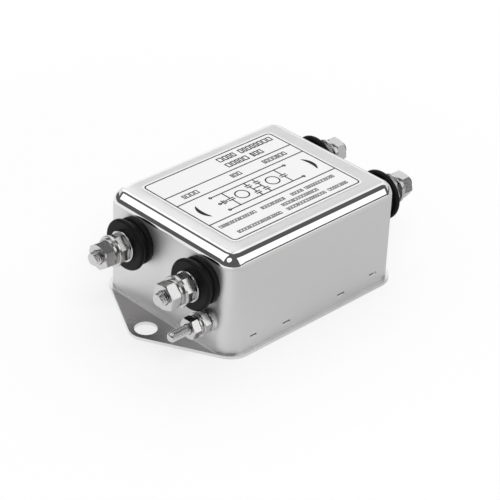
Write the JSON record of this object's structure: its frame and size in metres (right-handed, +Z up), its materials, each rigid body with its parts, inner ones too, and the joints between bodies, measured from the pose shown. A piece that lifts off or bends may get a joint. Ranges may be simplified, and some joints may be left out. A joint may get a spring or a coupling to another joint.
{
  "type": "power line filter",
  "caption": "Metal-cased power line filter on an eared base plate, with insulated stud terminals at both ends and an earth stud.",
  "frame": {"origin": "centre of the base plate's underside, midway between the two mounting holes", "axes": "+X along the case towards the load terminals, +Y across the case away from the earth stud's side, +Z up from the base plate to the label"},
  "size_m": [0.096, 0.0524, 0.0311],
  "materials": {
    "can_metal": "nickel-plated drawn steel, satin with bright bends",
    "plate_metal": "nickel-plated steel sheet, satin",
    "label_film": "white polyester label, satin",
    "label_ink": "black printed ink, matt",
    "bushing_plastic": "black moulded phenolic, semi-matt",
    "ring_plastic": "natural nylon, moulded",
    "hardware": "nickel-plated steel, bright",
    "spring_steel": "plated spring steel, bright",
    "copper_strap": "tinned copper strip",
    "liner_card": "insulating card, matt",
    "board_laminate": "glass-epoxy laminate, satin",
    "spacer_nylon": "white nylon, moulded",
    "ferrite": "sintered ferrite with a thin coat, matt",
    "coil_wire": "enamelled copper wire, glossy",
    "capacitor_box": "moulded plastic case, glossy",
    "capacitor_disc": "dipped epoxy coat, glossy",
    "resistor_body": "lacquered ceramic body"
  },
  "bodies": {
    "root": {"case_can": "can_metal", "base_plate": "plate_metal", "rating_label": "label_film", "label_print": "label_ink", "bushing_line_a": "bushing_plastic", "bushing_line_b": "bushing_plastic", "bushing_load_a": "bushing_plastic", "bushing_load_b": "bushing_plastic", "bushing_ring_line_a": "ring_plastic", "bushing_ring_line_b": "ring_plastic", "bushing_ring_load_a": "ring_plastic", "bushing_ring_load_b": "ring_plastic", "stud_line_a": "hardware", "stud_line_b": "hardware", "stud_load_a": "hardware", "stud_load_b": "hardware", "seat_washer_line_a": "hardware", "seat_washer_line_b": "hardware", "seat_washer_load_a": "hardware", "seat_washer_load_b": "hardware", "inner_nut_line_a": "hardware", "inner_nut_line_b": "hardware", "inner_nut_load_a": "hardware", "inner_nut_load_b": "hardware", "flat_washers": "hardware", "spring_washer_line_a": "spring_steel", "spring_washer_line_b": "spring_steel", "spring_washer_load_a": "spring_steel", "spring_washer_load_b": "spring_steel", "outer_nut_line_a": "hardware", "outer_nut_line_b": "hardware", "outer_nut_load_a": "hardware", "outer_nut_load_b": "hardware", "strap_line_a": "copper_strap", "strap_line_b": "copper_strap", "strap_load_a": "copper_strap", "strap_load_b": "copper_strap", "earth_stud": "hardware", "earth_seat_washer": "hardware", "earth_inner_nut": "hardware", "earth_flat_washer": "hardware", "earth_spring_washer": "spring_steel", "earth_outer_nut": "hardware", "earth_strap": "copper_strap", "liner": "liner_card", "circuit_board": "board_laminate", "board_spacers": "spacer_nylon", "choke_core_line": "ferrite", "choke_core_load": "ferrite", "winding_line_a": "coil_wire", "winding_line_b": "coil_wire", "winding_load_a": "coil_wire", "winding_load_b": "coil_wire", "box_capacitor_line": "capacitor_box", "box_capacitor_middle": "capacitor_box", "box_capacitor_load": "capacitor_box", "disc_capacitor_a": "capacitor_disc", "disc_capacitor_b": "capacitor_disc", "bleed_resistor": "resistor_body"}
  },
  "joints": []
}
